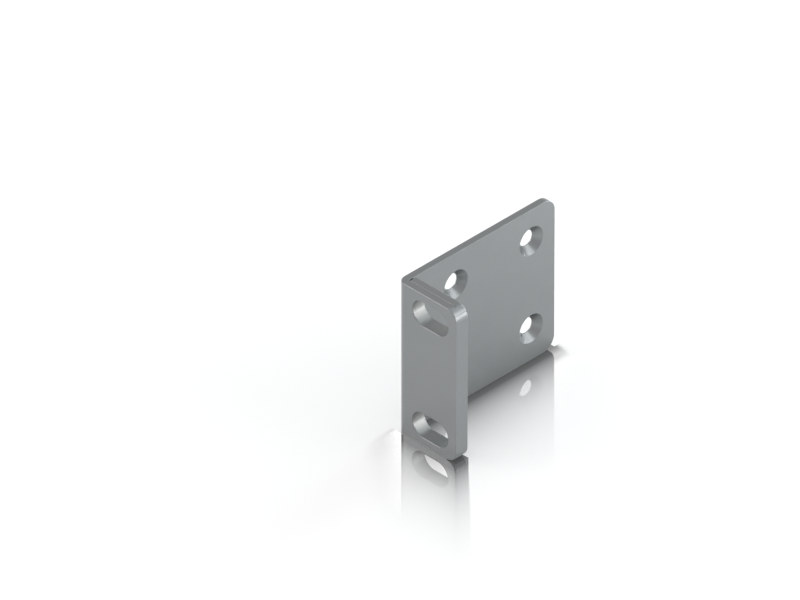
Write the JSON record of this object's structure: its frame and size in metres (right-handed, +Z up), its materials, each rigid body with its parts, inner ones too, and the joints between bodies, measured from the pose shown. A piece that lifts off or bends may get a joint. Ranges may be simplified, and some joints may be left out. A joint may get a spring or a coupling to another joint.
{
  "type": "rack mount ear bracket",
  "caption": "L-shaped ear bracket of folded sheet steel: a side plate with countersunk screw holes and a thick ear with long slots, to fix equipment in a rack.",
  "frame": {"origin": "middle of the footprint at the height of the lower edges, as the bracket stands upright", "axes": "+X across the rack, away from the equipment; +Y backwards along the equipment's side; +Z up"},
  "size_m": [0.0194, 0.0502, 0.043],
  "materials": {
    "plated_steel": "satin plated steel, plain mid grey"
  },
  "bodies": {
    "root": {"ear_bracket": "plated_steel"}
  },
  "joints": []
}
